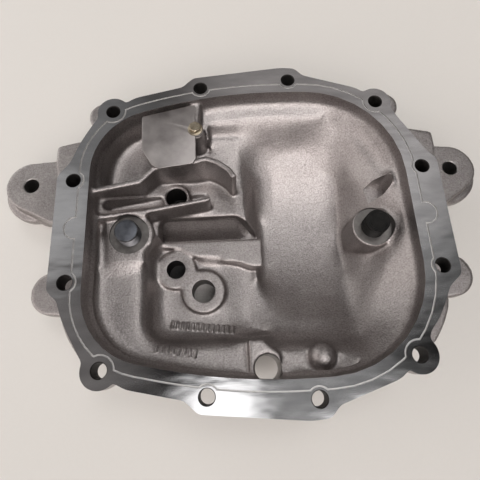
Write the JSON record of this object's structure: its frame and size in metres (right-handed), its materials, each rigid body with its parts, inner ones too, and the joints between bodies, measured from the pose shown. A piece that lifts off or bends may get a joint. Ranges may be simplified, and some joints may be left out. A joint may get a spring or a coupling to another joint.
{
  "type": "differential cover",
  "caption": "Cast differential cover with a bolted flange, ring gear trough, ribbed oil box under a baffle, screwed plugs and two mounting ears.",
  "frame": {"origin": "middle of the rectangle of the corner bolts, on the machined flange face", "axes": "+Z out of the flange face towards the axle housing, so the back of the cover faces -Z; +X along the longer side, to the right seen from the open side; +Y to the cover's top, with the drain hole at -Y"},
  "size_m": [0.386, 0.2588, 0.0742],
  "materials": {
    "cast_aluminium": "blasted casting with a machined flange face",
    "baffle_steel": "plain sheet",
    "plated_steel": "zinc plated",
    "plug_steel": "dark, dull",
    "magnet": "smooth, blue-grey",
    "seal_metal": "copper sealing ring",
    "blackened_steel": "matt black"
  },
  "bodies": {
    "root": {"cover_casting": "cast_aluminium", "baffle_plate": "baffle_steel", "baffle_screw": "plated_steel", "level_plug": "plug_steel", "plug_magnet": "magnet", "level_plug_seal": "seal_metal", "fill_plug": "blackened_steel", "fill_plug_seal": "seal_metal"}
  },
  "joints": []
}
